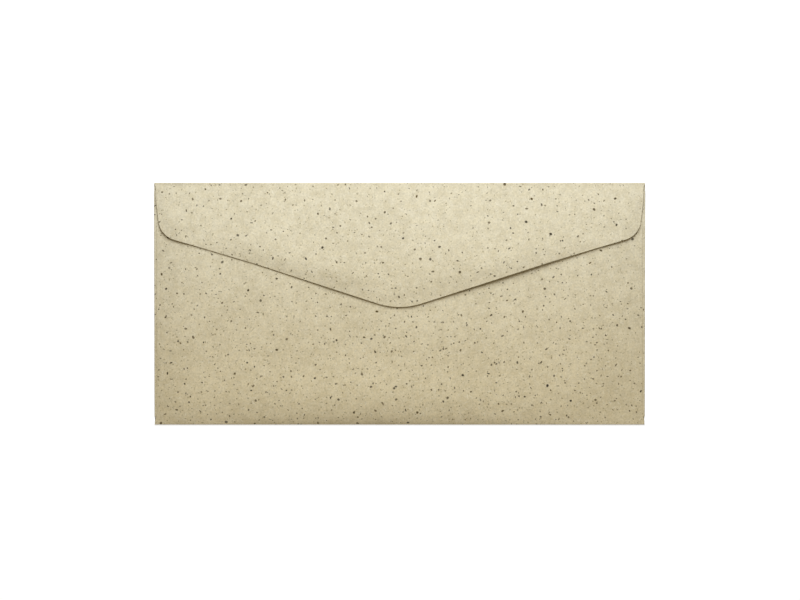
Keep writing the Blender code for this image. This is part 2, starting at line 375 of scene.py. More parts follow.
def back_height(x, y):
    """Middle of the back panel: the rim's height at its three closed edges, plus what it rises inside.

    Slow waves and fine cockles fade out at the rim, and the paper puckers a little over the lines
    of glue. It dips in a bell curve under the part of the flap that lifts most, and rises less
    at one end of the foot. Off its middle the foot of the pocket swells in a bell curve each
    way, and rolls over to the bottom crease.
    """
    from_side = SIDE_BEND_X - np.abs(x)
    from_bottom = y - BOTTOM_BEND_Y
    rise = lift(from_side, SIDE_RISE_REACH, SIDE_RISE_POWER)
    rise = rise * lift(from_bottom, BOTTOM_RISE_REACH, BOTTOM_RISE_POWER)
    flat = FLAT_FOOT_SHARE * hump(x - FLAT_FOOT_X, FLAT_FOOT_SPREAD) * hump(from_bottom, FLAT_FOOT_SPREAD)
    rise = rise * (1 - flat)
    slow = SLOW_WAVE * waves(x, y, *BACK_WAVES)
    cockle = COCKLE * waves(x, y, *BACK_COCKLES)
    glued = hump(np.abs(x) - (GLUE_LOWEST.x + GLUE_HIGHEST.x) / 2, PUCKER_SPREAD)
    pucker = PUCKER * glued * waves(x * PUCKER_ACROSS, y, *SEAM_PUCKERS)
    foot = FOOT_RISE * hump(x - FOOT_X, FOOT_SPREAD_X) * hump(from_bottom - FOOT_Y, FOOT_SPREAD_Y)
    foot = foot * (1 - np.exp(-from_bottom / FOOT_ROLL))
    dip = BACK_DIP * hump(x - DIP_X, DIP_SPREAD) * hump(y - DIP_Y, DIP_SPREAD)
    return RIM_MID + SEAM_STEP + rise * (BACK_RISE + slow + cockle + pucker - dip) + foot + curl(y)


def side_height(x, y):
    """Middle of a side flap, which lies under the back panel with the glue between them."""
    return back_height(x, y) - SEAM_STEP


def flap_gap(x, from_crease):
    """Air under the seal flap's edge: a small share of the gap at the top of its sides, then all of it.

    On top of that comes a bell curve at each place where the edge lifts more, and at the corners.
    """
    share = SIDE_GAP_SHARE + (1 - SIDE_GAP_SHARE) * smooth((from_crease - SIDE_GAP_DOWN) / SIDE_GAP_FADE)
    gap = FLAP_GAP * share
    for middle, spread, height in GAP_SWELLS:
        gap = gap + height * hump(x - middle, spread)
    for middle, spread, height in CORNER_SWELLS:
        low = hump(from_crease - CORNER_SWELL_DOWN, CORNER_SWELL_SPREAD)
        gap = gap + height * hump(x - middle, spread) * low
    return gap


def flap_height(x, y):
    """Middle of the seal flap: level with the top crease, then up to its full height, then down again.

    The full height is less towards the sides and in a bell curve at the tip, and more in the
    pillows near the edge. What the flap falls towards its edges grows with the square of how far
    into the reach of the edge a point is, down to its gap over the back panel. Slow waves and
    fine cockles lie over that. Just below the crest it sinks by t times e to the power of
    1 minus t, where t is the distance over that of the deepest line.
    """
    from_crease = TOP_BEND_Y - y
    to_side = SIDE_X - FLAP_SIDE_INSET - np.abs(x)
    to_edge = (y - np.interp(np.abs(x), FLAP_EDGE_X, FLAP_EDGE_Y)) * math.cos(FLAP_EDGE_SLANT)
    resting = back_height(x, y) + PAPER + flap_gap(x, from_crease)
    full = FLAP_FULL - (FLAP_FULL - FLAP_MID) * smooth((np.abs(x) - FLAP_FULL_X) / FLAP_FULL_FADE)
    full = full - FLAP_TIP_LOWER * hump(x, FLAP_TIP_SPREAD)
    for middle, spread, height in PILLOWS:
        full = full + height * hump(x - middle, spread) * hump(to_edge - PILLOW_IN, PILLOW_SPREAD)
    for distance, reach in ((to_edge, FLAP_CURL_REACH), (to_side, FLAP_SIDE_REACH)):
        full = full + (resting - full) * np.clip(1 - distance / reach, 0, 1) ** 2
    shorter = smooth((np.abs(x) - FLAP_SHORTER_X) / FLAP_SHORTER_FADE)
    reach = FLAP_SETTLE_REACH + (FLAP_SETTLE_AT_SIDE - FLAP_SETTLE_REACH) * shorter
    slow = SLOW_WAVE * waves(x, y, *FLAP_WAVES)
    cockle = COCKLE * waves(x, y, *FLAP_COCKLES)
    free = smooth(from_crease / FLAP_FREE_REACH) * smooth(to_edge / FLAP_FREE_REACH)
    below = from_crease / CREST_SINK_AT
    deeper = CREST_SINK_SHARE + waves(x, 0 * y, *CREST_WAVES) + DENT_SHARE * hump(x - DENT_X, DENT_SPREAD)
    sink = CREST_SINK * deeper * below * np.exp(1 - below)
    crest = CREST_Z + TOP_BEND
    return crest + (full - crest) * smooth(from_crease / reach) + free * (slow + cockle) - sink


def front_height(x, y):
    """Middle of the front panel, which lies on the table and hardly leaves it inside its edges."""
    edge_x = lift(SIDE_BEND_X - np.abs(x), FRONT_LIFT_REACH, 2)
    edge_y = lift(np.minimum(TOP_BEND_Y - y, y - BOTTOM_BEND_Y), FRONT_LIFT_REACH, 2)
    wavy = 1 + waves(x, y, *FRONT_WAVES).clip(-1, 1)
    return FRONT_MID + edge_x * edge_y * FRONT_LIFT * wavy + curl(y)


def slopes(height, x, y):
    """How fast a height changes along X and along Y, from points a small step to either side."""
    along_x = (height(x + SLOPE_STEP, y) - height(x - SLOPE_STEP, y)) / (2 * SLOPE_STEP)
    along_y = (height(x, y + SLOPE_STEP) - height(x, y - SLOPE_STEP)) / (2 * SLOPE_STEP)
    return along_x, along_y


def unit(vectors):
    """The vectors, each made 1 long."""
    return vectors / np.linalg.norm(vectors, axis=-1, keepdims=True)


def arc(before, corner, after, radius):
    """Points of the arc of this radius that touches both edges of a corner."""
    before, corner, after = (np.array(point, float) for point in (before, corner, after))
    to_before = unit(before - corner)
    to_after = unit(after - corner)
    half_angle = math.acos(np.clip(to_before @ to_after, -1, 1)) / 2
    centre = corner + unit(to_before + to_after) * radius / math.sin(half_angle)
    start = corner + to_before * radius / math.tan(half_angle) - centre
    end = corner + to_after * radius / math.tan(half_angle) - centre
    turn = math.atan2(start[0] * end[1] - start[1] * end[0], start @ end)
    angles = np.linspace(0, turn, ARC_STEPS + 1)[:, None]
    sideways = np.array([-start[1], start[0]])
    return centre + start * np.cos(angles) + sideways * np.sin(angles)


def share_along(points):
    """How far along the line through the points each of them lies, from 0 to 1."""
    steps = np.linalg.norm(np.diff(points, axis=0), axis=1)
    along = np.concatenate([[0], np.cumsum(steps)])
    return along / along[-1]


def evenly(points, count, closing=0.0):
    """The line through the points as this many points, closer together at both ends by closing.

    The way along is t less closing times the sine of a full turn of t, over a full turn.
    """
    points = np.array(points, float)
    t = np.linspace(0, 1, count)
    wanted = t - closing * np.sin(2 * math.pi * t) / (2 * math.pi)
    along = share_along(points)
    return np.stack([np.interp(wanted, along, points[:, axis]) for axis in (0, 1)], 1)


def patch(first, last, start, end):
    """A grid between four lines: two ruled surfaces added, less the one between the corners.

    first and last are the lines of the first and the last row, and start and end those of the
    first and the last column.
    """
    u = share_along(first)[None, :, None]
    v = share_along(start)[:, None, None]
    across = (1 - v) * first[None] + v * last[None]
    along = (1 - u) * start[:, None] + u * end[:, None]
    corners = (1 - v) * ((1 - u) * first[0] + u * first[-1]) + v * ((1 - u) * last[0] + u * last[-1])
    return across + along - corners


def mirrored(points):
    """The points on the other side of the Y axis, in the same order."""
    return np.array(points, float) * (-1, 1)


def flap_edge():
    """The left half of the seal flap's outline, from its root round the corner to the tip.

    Its side stands in from the envelope's, and the corner, the shoulder and the tip are arcs.
    """
    root = np.array([-TOP_END_X, TOP_BEND_Y])
    side = [(-SIDE_X + inset, CREST_Y - depth) for inset, depth in FLAP_SIDE_POINTS]
    corner = np.array([-SIDE_X + FLAP_SIDE_INSET, CREST_Y - FLAP_CORNER_DEPTH])
    shoulder = np.array([-SIDE_X + FLAP_SHOULDER_RUN, CREST_Y - FLAP_SHOULDER_DEPTH])
    tip = np.array([0.0, CREST_Y - FLAP_POINT_DEPTH])
    corner_arc = arc(side[-1], corner, shoulder, FLAP_CORNER_RADIUS)
    shoulder_arc = arc(corner, shoulder, tip, FLAP_SHOULDER_RADIUS)
    half_tip_arc = arc(shoulder, tip, mirrored(shoulder), FLAP_TIP_RADIUS)[: ARC_STEPS // 2 + 1]
    return np.concatenate([[root], side, corner_arc, shoulder_arc, half_tip_arc])


# The seal flap's lower edge, from the middle of its corner on, by its distance from the middle
CORNER_START = 1 + len(FLAP_SIDE_POINTS)
CORNER_MIDDLE = CORNER_START + ARC_STEPS // 2
FLAP_EDGE_X = -flap_edge()[CORNER_MIDDLE:, 0][::-1]
FLAP_EDGE_Y = flap_edge()[CORNER_MIDDLE:, 1][::-1]


def flap_plan():
    """The seal flap's grid in plan, from its lower edge up to where the crease begins to bend."""
    edge = flap_edge()
    lower = np.concatenate([edge[CORNER_MIDDLE:], mirrored(edge[CORNER_MIDDLE:-1][::-1])])
    rows = round(FLAP_POINT_DEPTH / ROW_STEP)
    side = evenly(edge[: CORNER_MIDDLE + 1][::-1], rows, ROW_CLOSING)
    top = evenly([edge[0], mirrored(edge[0])], COLUMNS)
    return patch(evenly(lower, COLUMNS), top, side, mirrored(side))


def back_plan():
    """The back panel's grid in plan, from the bottom crease up to the mouth.

    Its sides run out to the corners over the last few millimetres above the crease.
    """
    foot = np.array([-FOOT_END_X, BOTTOM_BEND_Y])
    flare = np.array([-BACK_SIDE_X, BOTTOM_BEND_Y + FOOT_FLARE])
    side_top = np.array([-BACK_SIDE_X, MOUTH_Y - MOUTH_SLOPE_DROP])
    turn = np.array([-BACK_SIDE_X + MOUTH_SLOPE_RUN, MOUTH_Y])
    slope = np.concatenate([[side_top], arc(side_top, turn, mirrored(turn), MOUTH_CORNER_RADIUS)])
    mouth = evenly(np.concatenate([slope, mirrored(slope[::-1])]), COLUMNS)
    rows = round((MOUTH_Y - BOTTOM_BEND_Y) / ROW_STEP)
    side = evenly([foot, flare, side_top], rows, ROW_CLOSING)
    return patch(evenly([foot, mirrored(foot)], COLUMNS), mouth, side, mirrored(side))


def front_plan():
    """The front panel's grid in plan, from the top crease down to the bottom crease.

    Its sides step in to the side creases just above the side flaps.
    """
    side = [
        (-TOP_END_X, TOP_BEND_Y),
        (-TOP_END_X, SIDE_FLAP_TOP_Y + SIDE_STEP_DOWN),
        (-SIDE_BEND_X, SIDE_FLAP_TOP_Y),
        (-SIDE_BEND_X, SIDE_FLAP_BOTTOM_Y),
        (-FOOT_END_X, BOTTOM_BEND_Y),
    ]
    side = evenly(side, round(2 * CREST_Y / GRID_STEP))
    top = evenly([side[0], mirrored(side[0])], COLUMNS)
    bottom = evenly([side[-1], mirrored(side[-1])], COLUMNS)
    return patch(top, bottom, side, mirrored(side))


def side_flap_plan():
    """The left side flap's grid in plan, from its crease inwards."""
    top, bottom = SIDE_FLAP_TOP_Y, SIDE_FLAP_BOTTOM_Y
    outer = evenly([(-SIDE_BEND_X, top), (-SIDE_BEND_X, bottom)], round((top - bottom) / GRID_STEP))
    inner_top = (-SIDE_FLAP_INNER_X, top - SIDE_FLAP_TOP_SLANT)
    inner_bottom = (-SIDE_FLAP_INNER_X, bottom + SIDE_FLAP_BOTTOM_SLANT)
    inner = evenly([inner_top, inner_bottom], len(outer))
    rows = round((SIDE_BEND_X - SIDE_FLAP_INNER_X) / GRID_STEP)
    return patch(outer, inner, evenly([outer[0], inner[0]], rows), evenly([outer[-1], inner[-1]], rows))


def points_at(plan, height):
    """The plan's points at their heights."""
    x, y = plan[..., 0], plan[..., 1]
    return np.stack([x, y, height(x, y)], -1)


def upward(plan, height):
    """The surface's unit normals on its upper side, from its slopes."""
    along_x, along_y = slopes(height, plan[..., 0], plan[..., 1])
    return unit(np.stack([-along_x, -along_y, np.ones_like(along_x)], -1))


def heading(plan, height, out):
    """The direction in which the surface leaves a line of its plan, going out in plan."""
    along_x, along_y = slopes(height, plan[..., 0], plan[..., 1])
    rise = along_x * out[0] + along_y * out[1]
    return unit(np.stack([np.full_like(rise, out[0]), np.full_like(rise, out[1]), rise], -1))


def crease(line, from_height, to_height, out, reach):
    """A bent strip between two layers above the same line: its middle, its outer normals, how far round.

    Each row is a point of one cubic curve, which leaves the first layer along its own slope and comes
    in along the second's. A pull of four thirds of the reach takes the middle of the curve
    out by the reach. The rows are closer together at both ends.
    """
    start, end = points_at(line, from_height), points_at(line, to_height)
    pull = reach * 4 / 3
    start_pull = start + pull * heading(line, from_height, out)
    end_pull = end + pull * heading(line, to_height, out)
    t = ((1 - np.cos(np.linspace(0, math.pi, CREASE_ROWS))) / 2)[:, None, None]
    middle = (1 - t) ** 3 * start + 3 * (1 - t) ** 2 * t * start_pull
    middle = middle + 3 * (1 - t) * t**2 * end_pull + t**3 * end
    forward = (1 - t) ** 2 * (start_pull - start) + 2 * (1 - t) * t * (end_pull - start_pull)
    forward = forward + t**2 * (end - end_pull)
    normal = unit(np.cross(forward, np.gradient(middle, axis=1)))
    outermost = normal[CREASE_ROWS // 2]
    normal = normal * np.sign(np.sum(outermost[:, :2] * out))
    steps = np.linalg.norm(np.diff(middle, axis=0), axis=-1)
    travelled = np.concatenate([np.zeros((1, len(line))), np.cumsum(steps, 0)])
    return middle, normal, travelled / travelled[-1]


def outer_faces(middle, normal):
    """The grid's squares and the loop of points round it, both turned to face as the normals do."""
    rows, columns = middle.shape[:2]
    index = np.arange(rows * columns).reshape(rows, columns)
    quads = np.stack([index[:-1, :-1], index[:-1, 1:], index[1:, 1:], index[1:, :-1]], -1).reshape(-1, 4)
    loop = np.concatenate([index[0, :-1], index[:-1, -1], index[-1, :0:-1], index[:0:-1, 0]])
    facing = np.cross(middle[:-1, 1:] - middle[:-1, :-1], middle[1:, :-1] - middle[:-1, :-1])
    if np.sum(facing * normal[:-1, :-1]) < 0:
        return quads[:, ::-1], loop[::-1]
    return quads, loop


def sheet_uv(place, quads, loop):
    """The place on the unfolded sheet of each face's corners: outer face, inner face and rim.

    The inner face reads the pattern elsewhere, so the two faces differ, and the rim takes a
    strip as wide as the paper is thick.
    """
    flat = place.reshape(-1, 2) / UV_UNIT
    ahead = np.roll(loop, -1)
    edge = PAPER / UV_UNIT
    rim = np.stack([flat[ahead], flat[loop], flat[loop] + edge, flat[ahead] + edge], 1)
    return np.concatenate([flat[quads], flat[quads[:, ::-1]] + (0.0, INNER_SHIFT), rim])


def write_layer(layer, field, values):
    """Fills a UV layer or an attribute of a mesh."""
    layer.data.foreach_set(field, np.ravel(values).astype(np.float32))


def sheet_object(name, middle, normal, place, finish, half=PAPER / 2, fold=None):
    """A closed sheet: the middle surface moved out and in by half its thickness, and a rim between.

    place holds each point's place on the unfolded sheet. The attribute cut_edge is 1 on the rim,
    and fold is 1 where the paper is bent most.
    """
    offset = normal * np.broadcast_to(half, middle.shape[:2])[..., None]
    points = np.concatenate([(middle + offset).reshape(-1, 3), (middle - offset).reshape(-1, 3)])
    quads, loop = outer_faces(middle, normal)
    ahead = np.roll(loop, -1)
    inside = len(points) // 2
    rim = np.stack([ahead, loop, loop + inside, ahead + inside], -1)
    faces = np.concatenate([quads, quads[:, ::-1] + inside, rim])

    mesh = bpy.data.meshes.new(name)
    mesh.from_pydata(points, [], faces)
    write_layer(mesh.uv_layers.new(name="sheet"), "uv", sheet_uv(place, quads, loop))
    cut = np.concatenate([np.zeros(2 * len(quads)), np.ones(len(rim))])
    write_layer(mesh.attributes.new("cut_edge", "FLOAT", "FACE"), "value", cut)
    bent = np.zeros(inside) if fold is None else fold.ravel()
    write_layer(mesh.attributes.new("fold", "FLOAT", "POINT"), "value", np.tile(bent, 2))
    mesh.shade_smooth()
    mesh.set_sharp_from_angle(angle=EDGE_ANGLE)
    mesh.materials.append(finish)
    mesh.update()
    obj = bpy.data.objects.new(name, mesh)
    bpy.context.scene.collection.objects.link(obj)
    return obj


class Socket:
    """An output of a node. Sums, products and the like on it add the Math nodes that work them out."""

    def __init__(self, finish, output):
        self.finish = finish
        self.output = output

    def math(self, operation, *others):
        """A Math node on this output and the others."""
        return self.finish.math(operation, self, *others)

    def __add__(self, other):
        return self.math("ADD", other)

    def __sub__(self, other):
        return self.math("SUBTRACT", other)

    def __rsub__(self, other):
        return self.finish.math("SUBTRACT", other, self)

    def __mul__(self, other):
        return self.math("MULTIPLY", other)

    def __truediv__(self, other):
        return self.math("DIVIDE", other)

    def __pow__(self, other):
        return self.math("POWER", other)

    __radd__ = __add__
    __rmul__ = __mul__

    def part(self, name):
        """Another output of the same node."""
        return Socket(self.finish, self.output.node.outputs[name])


class Finish:
    """A material under construction: every node comes from node(), and set() feeds the shader."""

    def __init__(self, name):
        self.material = bpy.data.materials.new(name)
        self.material.use_nodes = True
        self.tree = self.material.node_tree
        self.shader = self.tree.nodes["Principled BSDF"]

    def feed(self, socket, value):
        """Links the value to the socket, or sets it there."""
        if isinstance(value, Socket):
            self.tree.links.new(value.output, socket)
        else:
            socket.default_value = value

    def node(self, kind, settings=None, values=None, output=0):
        """Adds a node, gives it its settings and then its sockets' values or links."""
        node = self.tree.nodes.new(kind)
        for name, value in (settings or {}).items():
            setattr(node, name, value)
        for socket, value in (values or {}).items():
            self.feed(node.inputs[socket], value)
        return Socket(self, node.outputs[output])

    def set(self, **values):
        """Feeds the shader's sockets, with a low line in a name for its space."""
        for socket, value in values.items():
            self.feed(self.shader.inputs[socket.replace("_", " ")], value)

    def math(self, operation, *values):
        """A Math node on the values."""
        return self.node("ShaderNodeMath", {"operation": operation}, dict(enumerate(values)))

    def vector(self, operation, first, second):
        """A Vector Math node on two vectors or colours."""
        return self.node("ShaderNodeVectorMath", {"operation": operation}, {0: first, 1: second})

    def scale(self, vector, factor):
        """The vector or colour times a number."""
        return self.node("ShaderNodeVectorMath", {"operation": "SCALE"}, {0: vector, "Scale": factor})

    def millimetres(self):
        """The place on the unfolded sheet, in millimetres."""
        place = self.node("ShaderNodeUVMap", {"uv_map": "sheet"})
        return self.scale(place, UV_UNIT / MM)

    def attribute(self, name):
        """A number that the mesh carries."""
        return self.node("ShaderNodeAttribute", {"attribute_name": name}, output="Fac")

    def bump(self, height, distance):
        """A surface that stands up by the height, from 0 to 1, times the distance."""
        return self.node("ShaderNodeBump", values={"Height": height, "Distance": distance})

    def moved(self, place, shift, seed):
        """The place, moved by the seed times the shift."""
        return self.vector("ADD", place, (shift[0] * seed, shift[1] * seed, 0.0))

    def noise(self, place, size, seed, detail=2.0, roughness=0.5, output=0):
        """Noise of this size in millimetres, 0.5 on average."""
        place = self.moved(place, NOISE_SHIFT, seed)
        values = {"Vector": place, "Scale": 1 / size, "Detail": detail, "Roughness": roughness}
        return self.node("ShaderNodeTexNoise", {"noise_dimensions": "2D"}, values, output)

    def ramp(self, value, low, high):
        """Nought up to low, 1 from high on, and smooth between, also for low above high."""
        values = {"Value": value, "From Min": low, "From Max": high}
        return self.node("ShaderNodeMapRange", {"interpolation_type": "SMOOTHSTEP"}, values)

    def mix(self, share, first, second):
        """The second colour over the first by its share."""
        values = {0: share, 6: self.colour(first), 7: self.colour(second)}
        return self.node("ShaderNodeMix", {"data_type": "RGBA"}, values, output=2)

    def colour(self, value):
        """A colour for a socket, whether it is an output or three numbers."""
        return value if isinstance(value, Socket) else (*value, 1.0)

    def scatter(self, place, spacing, seed):
        """One random point in each cell of a grid: the way to it and six random numbers of its own."""
        grid = self.scale(self.moved(place, SCATTER_SHIFT, seed), 1 / spacing)
        settings = {"voronoi_dimensions": "2D", "feature": "F1"}
        cells = self.node("ShaderNodeTexVoronoi", settings, {"Vector": grid, "Scale": 1.0})
        away = self.vector("SUBTRACT", grid, cells.part("Position"))
        away = self.scale(away, spacing)
        split = self.node("ShaderNodeSeparateColor", values={0: cells.part("Color")})
        random = [split.part(name) for name in ("Red", "Green", "Blue")]
        random += [(value * REMIX).math("FRACT") for value in random]
        return away, random

    def grains(self, place, seed, spacing, length, width, share, bend=0.0, edge=0.15):
        """Grains lying every way: how much each covers, and a random number for its colour.

        A grain covers a point where the point's distance, with the way along the grain divided
        by its length and the way across by its width, is under 1. Random numbers set which
        cells hold one, how large it is and how slim.
        """
        away, random = self.scatter(place, spacing, seed)
        way = self.node("ShaderNodeSeparateXYZ", values={0: away})
        x, y = way.part("X"), way.part("Y")
        angle = random[0] * (2 * math.pi)
        cosine, sine = angle.math("COSINE"), angle.math("SINE")
        size, slim = on_line(GRAIN_SIZE, random[1]), on_line(GRAIN_SLIM, random[2])
        along = (x * cosine + y * sine) / (size * length)
        across = (y * cosine - x * sine) / (size * slim * width) - along * along * bend
        distance = (along * along + across * across) ** 0.5
        cover = self.ramp(distance, 1 + edge, 1 - edge)
        there = random[3].math("LESS_THAN", share)
        return cover * there, random[4], random[5]


def pulp_tone(finish, place, painted_shade_and_crowding, across):
    """Pulp without its dark grains: its colour, and its fine grain from 0 to 1.

    Clouds in three sizes go from deeper to paler pulp, fine grain shades it, and patches of it are
    cooler or warmer. Painted light makes it cooler near the crest and painted shade makes it darker
    and warmer towards the foot. Painted shade also darkens it in patches towards the sides of the sheet.
    """
    large, middling, little = (
        finish.noise(place, size, seed, detail=detail) * share for size, share, seed, detail in CLOUDS
    )
    clouds = finish.ramp(large + middling + little, *CLOUD_RAMP)
    colour = finish.mix(clouds, DEEP_PULP, PALE_PULP)
    grain = finish.noise(place, FINE_GRAIN_SIZE, 3, detail=3, roughness=0.65)
    colour = finish.scale(colour, on_line(FINE_SHADE, grain))
    warmth = finish.ramp(finish.noise(place, WARMTH_SIZE, 17, detail=3), *CLOUD_RAMP)
    colour = finish.vector("MULTIPLY", colour, finish.mix(warmth, COOL_TINT, WARM_TINT))
    # Painted light at the crest, cooler, turning to painted shade, darker and warmer, at the foot
    colour = finish.vector("MULTIPLY", colour, finish.mix(painted_shade_and_crowding, CREST_PAINTED_LIGHT, FOOT_PAINTED_SHADE))
    # Painted shade, darker towards the sides of the sheet, in patches
    side_shade_mask = finish.ramp(across.math("ABSOLUTE"), SIDE_SHADE_FROM, SIDE_SHADE_TO)
    side_shade_mask = side_shade_mask * finish.noise(place, SIDE_SHADE_SIZE, 19, detail=2)
    return finish.scale(colour, 1.0 - side_shade_mask * PAINTED_SIDE_SHADE), grain


def speckled(finish, place, painted_shade_and_crowding, colour):
    """The colour under straw, brown hairs and dark grains in three sizes, and where straw and grains lie.

    Shaking the place a little makes their outlines ragged. The grains are more crowded towards the
    foot, by the same number from 0 to 1 that deepens the painted shade there.
    """
    shake = finish.noise(place, SHAKE_SIZE, 4, detail=1, output=1)
    shake = finish.vector("SUBTRACT", shake, (0.5, 0.5, 0.5))
    ragged = finish.vector("ADD", place, finish.scale(shake, SHAKE))
    crowd = on_line(CROWD, painted_shade_and_crowding)

    straw, _, _ = finish.grains(ragged, 5, spacing=2.6, length=0.85, width=0.09, share=0.75, bend=4.0)
    colour = finish.mix(straw * FIBRE_COVER, colour, STRAW)
    hair, _, _ = finish.grains(ragged, 6, spacing=5.3, length=1.0, width=0.055, share=0.6, bend=7.0)
    colour = finish.mix(hair * FIBRE_COVER, colour, BARK)

    share = on_line(FAINT_SHARE, painted_shade_and_crowding)
    faint, depth, tone = finish.grains(ragged, 7, spacing=1.9, length=0.28, width=0.23, share=share)
    colour = finish.mix(faint * on_line(FAINT_COVER, depth), colour, finish.mix(tone, PEAT, BARK))
    share = crowd * SMALL_OF_CROWD
    small, depth, tone = finish.grains(ragged, 8, spacing=3.1, length=0.34, width=0.25, share=share)
    colour = finish.mix(small * on_line(SMALL_COVER, depth), colour, finish.mix(tone, BARK, CHARCOAL))
    share = crowd * LARGE_OF_CROWD
    large, depth, tone = finish.grains(ragged, 9, spacing=5.6, length=0.49, width=0.36, share=share)
    colour = finish.mix(large * on_line(LARGE_COVER, depth), colour, finish.mix(tone, BARK, CHARCOAL))
    return colour, straw, small + large


def pulp(finish):
    """The place on the sheet, the paper's colour there and the height of its surface, from 0 to 1.

    The number that turns painted light at the crest to painted shade at the foot, and crowds the
    grains there, goes down the sheet and back as half of 1 minus the cosine of a full turn a wave.
    """
    place = finish.millimetres()
    way = finish.node("ShaderNodeSeparateXYZ", values={0: place})
    across, down = way.part("X"), way.part("Y")
    # 0 at the crest, 1 at the foot: painted light there turns to painted shade, and the grains crowd in
    painted_shade_and_crowding = 0.5 - (down * (2 * math.pi / SHADE_AND_CROWD_WAVE)).math("COSINE") * 0.5
    colour, grain = pulp_tone(finish, place, painted_shade_and_crowding, across)
    colour, straw, dark = speckled(finish, place, painted_shade_and_crowding, colour)
    felt = finish.noise(place, FELT_SIZE, 10, detail=2, roughness=0.6)
    height = grain * FINE_GRAIN_RELIEF + felt * FELT_RELIEF + straw * STRAW_RELIEF + dark * DARK_RELIEF
    return place, colour, height


def paper_finish():
    """Recycled paper, paler on its cut edges and rubbed pale in patches where it is folded."""
    finish = Finish("recycled_paper")
    place, colour, height = pulp(finish)
    patches = finish.ramp(finish.noise(place, RUBBED_SIZE, 11, detail=3), *RUBBED_RAMP)
    rubbed = finish.attribute("fold") * patches
    colour = finish.mix(rubbed * RUBBED_COVER, colour, CUT_PULP)
    colour = finish.mix(finish.attribute("cut_edge") * CUT_EDGE_COVER, colour, CUT_PULP)
    bump = finish.bump(height, PAPER_BUMP)
    finish.set(Base_Color=colour, Roughness=on_line(PAPER_ROUGHNESS, height), Normal=bump)
    return finish.material


def gum_finish():
    """Dried gum on paper: the pulp and grains show through, darker, under an uneven gloss."""
    finish = Finish("dried_gum")
    place, colour, height = pulp(finish)
    colour = finish.vector("MULTIPLY", colour, GUM_TINT)
    streaks = finish.noise(finish.vector("MULTIPLY", place, (0.12, 1.0, 0.0)), 0.7, 12, detail=3)
    patches = finish.noise(place, 3.0, 13, detail=3)
    bump = finish.bump(height * 0.3 + streaks * 0.4 + patches * 0.3, PAPER_BUMP)
    finish.set(Base_Color=colour, Roughness=0.22 + patches * 0.25 + streaks * 0.1, Normal=bump)
    return finish.material


def glue_finish():
    """Dried white glue: cloudy, slightly yellowed where it is thick, satin and streaked."""
    finish = Finish("seam_glue")
    place = finish.millimetres()
    clouds = finish.noise(place, 2.5, 14, detail=3)
    streaks = finish.noise(finish.vector("MULTIPLY", place, (1.0, 0.15, 0.0)), 0.6, 15, detail=2)
    colour = finish.mix(finish.ramp(clouds * 0.6 + streaks * 0.4, 0.3, 0.7), GLUE_DEEP, GLUE_PALE)
    bump = finish.bump(clouds * 0.5 + streaks * 0.5, GLUE_BUMP)
    finish.set(Base_Color=colour, Roughness=0.38 + streaks * 0.22, Normal=bump)
    return finish.material


def panel(name, node, plan, height, place, body, finish, outer=1):
    """A panel of paper in place of its node. outer is -1 where the paper's outer face looks down."""
    obj = sheet_object(name, points_at(plan, height), upward(plan, height) * outer, place, finish)
    return settled_in(obj, "recycled_paper", body, node)


def settled_in(obj, slot, body, *nodes):
    """The piece stands for its nodes and rides on its body. The slot is not used."""
    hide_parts(*nodes)
    if body:
        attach(obj, body)
    return obj


def fold_wear(share):
    """1 at the outermost line of a crease, falling to nought at both ends of the bend."""
    return smooth(1 - np.abs(share - 0.5) * WEAR_FALL)


def place_at(across, down):
    """Places on the unfolded sheet, from the ways across it and down it."""
    return np.stack(np.broadcast_arrays(across, down), -1)


def down_front(y):
    """The way down the sheet at this Y on the front panel."""
    return FRONT_PLACE + TOP_BEND_Y - y


def make_front(paper):
    """The address side, which lies on the table."""
    plan = front_plan()
    place = place_at(plan[..., 0], down_front(plan[..., 1]))
    panel("front_sheet", "front_panel", plan, front_height, place, "pocket", paper, outer=-1)


def make_back(paper):
    """The lower panel, folded up and glued to the side flaps."""
    plan = back_plan()
    place = place_at(plan[..., 0], BACK_PLACE + plan[..., 1] - BOTTOM_BEND_Y)
    panel("back_sheet", "back_panel", plan, back_height, place, "pocket", paper)


def make_flap(paper):
    """The pointed flap that closes the mouth."""
    plan = flap_plan()
    place = place_at(plan[..., 0], plan[..., 1] - TOP_BEND_Y)
    panel("flap_sheet", "seal_flap", plan, flap_height, place, "flap", paper)


def make_side_flap(side, sign, paper):
    """A narrow flap folded in under the back panel, on the side whose X has this sign."""
    plan = side_flap_plan() * (-sign, 1)
    across = sign * (SIDE_PLACE + SIDE_BEND_X - np.abs(plan[..., 0]))
    place = place_at(across, down_front(plan[..., 1]))
    panel(f"{side}_flap_sheet", f"{side}_side_flap", plan, side_height, place, "pocket", paper)


def make_side_crease(side, sign, paper):
    """The crease from the front panel up to a side flap."""
    line = side_flap_plan()[0] * (-sign, 1)
    middle, normal, share = crease(line, front_height, side_height, (sign, 0), SIDE_BEND)
    across = sign * (SIDE_BEND_X + share * math.pi * SIDE_BEND)
    place = place_at(across, down_front(line[:, 1]))
    obj = sheet_object(f"{side}_crease", middle, normal, place, paper, fold=fold_wear(share))
    settled_in(obj, "recycled_paper", "pocket", f"{side}_side_fold")


def make_bottom_crease(paper):
    """The crease from the front panel up to the back panel."""
    line = back_plan()[0]
    middle, normal, share = crease(line, front_height, back_height, (0, -1), BOTTOM_BEND)
    place = place_at(line[:, 0], BACK_PLACE - math.pi * BOTTOM_BEND * (1 - share))
    obj = sheet_object("bottom_crease", middle, normal, place, paper, fold=fold_wear(share))
    settled_in(obj, "recycled_paper", "pocket", "bottom_fold")


